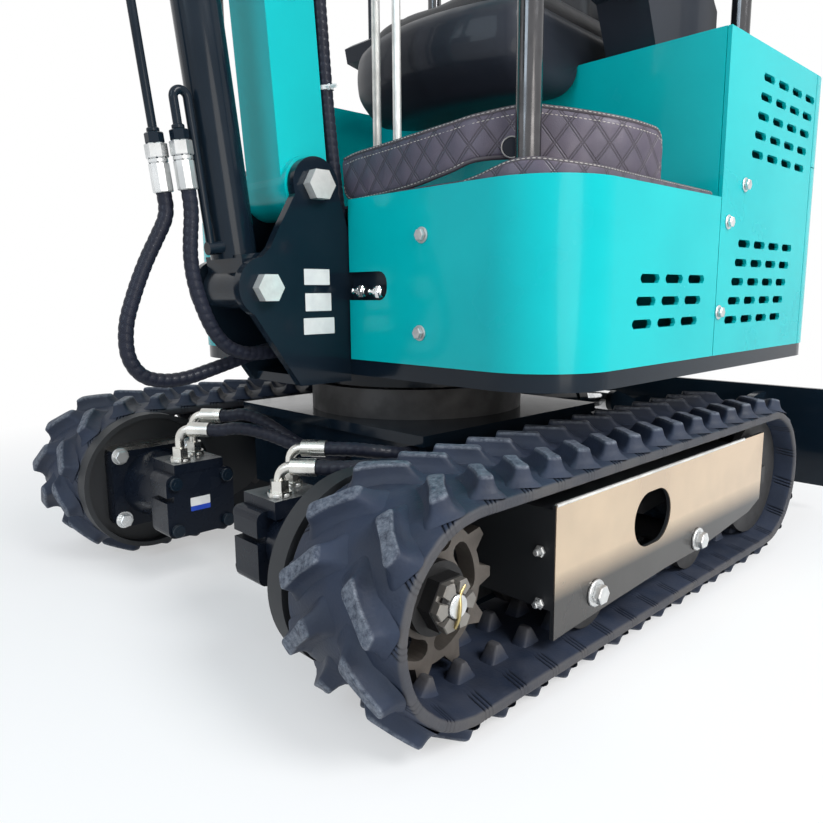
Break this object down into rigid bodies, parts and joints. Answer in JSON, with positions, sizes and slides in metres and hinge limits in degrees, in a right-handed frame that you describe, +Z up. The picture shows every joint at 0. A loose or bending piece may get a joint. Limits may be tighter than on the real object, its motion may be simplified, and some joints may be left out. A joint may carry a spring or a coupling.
{
  "type": "mini excavator",
  "caption": "Compact tracked excavator with slewing house, canopy, boom, arm, bucket and dozer blade, each moved by its own hydraulic cylinder.",
  "frame": {"origin": "on the ground under the slew axis, midway between the tracks", "axes": "+X forward over the boom, +Y to the machine's left, +Z up"},
  "size_m": [2.6126, 0.992, 2.1639],
  "materials": {
    "teal_paint": "gloss",
    "black_paint": "gloss",
    "track_rubber": "matte",
    "hose_rubber": "satin",
    "dark_steel": "satin",
    "bright_steel": "zinc plated",
    "rod_chrome": "polished",
    "mat_leather": "quilted",
    "seat_vinyl": "satin"
  },
  "bodies": {
    "undercarriage": {"car_body": "black_paint", "slew_ring": "dark_steel", "track_frame_left": "black_paint", "track_frame_right": "black_paint", "track_left": "track_rubber", "track_right": "track_rubber", "sprockets": "dark_steel", "idlers": "dark_steel", "rollers": "dark_steel", "travel_motors": "black_paint", "travel_hose_left_a": "hose_rubber", "travel_hose_left_b": "hose_rubber", "travel_hose_right_a": "hose_rubber", "travel_hose_right_b": "hose_rubber"},
    "house": {"platform": "black_paint", "pivot_bracket": "black_paint", "pivot_pins": "bright_steel", "front_panel_left": "teal_paint", "front_panel_right": "teal_paint", "rear_panel_left": "teal_paint", "rear_panel_right": "teal_paint", "counterweight": "teal_paint", "hood": "teal_paint", "engine_wall": "teal_paint", "engine": "dark_steel", "floor_plate": "black_paint", "floor_mat": "mat_leather", "seat": "seat_vinyl", "travel_levers": "bright_steel", "consoles": "black_paint", "tank_box": "teal_paint", "canopy_posts": "bright_steel", "canopy_roof": "teal_paint", "boom_hose_a": "hose_rubber", "boom_hose_b": "hose_rubber"},
    "boom": {"boom": "teal_paint"},
    "boom_cylinder": {"boom_cylinder_barrel": "black_paint"},
    "boom_rod": {"boom_cylinder_rod": "rod_chrome"},
    "arm": {"arm": "teal_paint"},
    "arm_cylinder": {"arm_cylinder_barrel": "black_paint"},
    "arm_rod": {"arm_cylinder_rod": "rod_chrome"},
    "bucket": {"bucket": "black_paint"},
    "bucket_cylinder": {"bucket_cylinder_barrel": "black_paint"},
    "bucket_rod": {"bucket_cylinder_rod": "rod_chrome"},
    "tipping_lever": {"tipping_lever": "black_paint"},
    "bucket_link": {"bucket_link": "black_paint"},
    "blade": {"blade": "black_paint"},
    "blade_cylinder": {"blade_cylinder_barrel": "black_paint"},
    "blade_rod": {"blade_cylinder_rod": "rod_chrome"}
  },
  "joints": [
    {"name": "slew", "type": "hinge", "parent": "undercarriage", "child": "house", "pos_m": [0, 0, 0.3], "axis": [0, 0, 1], "continuous": true},
    {"name": "boom_lift", "type": "hinge", "parent": "house", "child": "boom", "pos_m": [0.268, 0, 0.624], "axis": [0, -1, 0], "range_deg": [-100, 6]},
    {"name": "boom_cylinder_swing", "type": "hinge", "parent": "house", "child": "boom_cylinder", "pos_m": [0.36, 0, 0.478], "axis": [0, -1, 0], "range_deg": [-98, 6.5], "deforming": ["boom_hose_a", "boom_hose_b"]},
    {"name": "boom_rod_slide", "type": "slide", "parent": "boom_cylinder", "child": "boom_rod", "axis": [0.1188, 0, 0.9929], "range_m": [-0.27, 0.02]},
    {"name": "arm_fold", "type": "hinge", "parent": "boom", "child": "arm", "pos_m": [0.90784, 0, 1.78404], "axis": [0, 1, 0], "range_deg": [-35, 65]},
    {"name": "arm_cylinder_swing", "type": "hinge", "parent": "boom", "child": "arm_cylinder", "pos_m": [0.33234, 0, 1.44863], "axis": [0, -1, 0], "range_deg": [-6, 4]},
    {"name": "arm_rod_slide", "type": "slide", "parent": "arm_cylinder", "child": "arm_rod", "axis": [0.73, 0, 0.6835], "range_m": [-0.09, 0.155]},
    {"name": "bucket_curl", "type": "hinge", "parent": "arm", "child": "bucket", "pos_m": [1.65959, 0, 1.51042], "axis": [0, 1, 0], "range_deg": [-122, 0]},
    {"name": "tipping_lever_swing", "type": "hinge", "parent": "arm", "child": "tipping_lever", "pos_m": [1.52804, 0, 1.55831], "axis": [0, 1, 0], "range_deg": [-122.5, 0.5]},
    {"name": "bucket_link_swing", "type": "hinge", "parent": "tipping_lever", "child": "bucket_link", "pos_m": [1.63201, 0, 1.57292], "axis": [0, 1, 0], "range_deg": [-0.5, 122.5]},
    {"name": "bucket_cylinder_swing", "type": "hinge", "parent": "arm", "child": "bucket_cylinder", "pos_m": [1.00389, 0, 1.87252], "axis": [0, -1, 0], "range_deg": [-1, 3]},
    {"name": "bucket_rod_slide", "type": "slide", "parent": "bucket_cylinder", "child": "bucket_rod", "axis": [0.9026, 0, -0.4305], "range_m": [-0.19, 0.005]},
    {"name": "blade_lift", "type": "hinge", "parent": "undercarriage", "child": "blade", "pos_m": [-0.25, 0, 0.15], "axis": [0, 1, 0], "range_deg": [-18, 9]},
    {"name": "blade_cylinder_swing", "type": "hinge", "parent": "undercarriage", "child": "blade_cylinder", "pos_m": [-0.262, 0, 0.25], "axis": [0, -1, 0], "range_deg": [-10, 19]},
    {"name": "blade_rod_slide", "type": "slide", "parent": "blade_cylinder", "child": "blade_rod", "axis": [-0.993, 0, -0.1182], "range_m": [-0.02, 0.04]}
  ],
  "couplings": [
    {"joint": "boom_cylinder_swing", "follows": "boom_lift", "ratio": 0.97},
    {"joint": "boom_rod_slide", "follows": "boom_lift", "m_per_rad": 0.1515},
    {"joint": "arm_cylinder_swing", "follows": "arm_fold", "ratio": -0.073},
    {"joint": "arm_rod_slide", "follows": "arm_fold", "m_per_rad": 0.1281},
    {"joint": "tipping_lever_swing", "follows": "bucket_curl", "ratio": 1},
    {"joint": "bucket_link_swing", "follows": "bucket_curl", "ratio": -1},
    {"joint": "bucket_cylinder_swing", "follows": "bucket_curl", "ratio": -0.0192},
    {"joint": "bucket_rod_slide", "follows": "bucket_curl", "m_per_rad": 0.0871},
    {"joint": "blade_cylinder_swing", "follows": "blade_lift", "ratio": -0.9878},
    {"joint": "blade_rod_slide", "follows": "blade_lift", "m_per_rad": -0.0999}
  ]
}
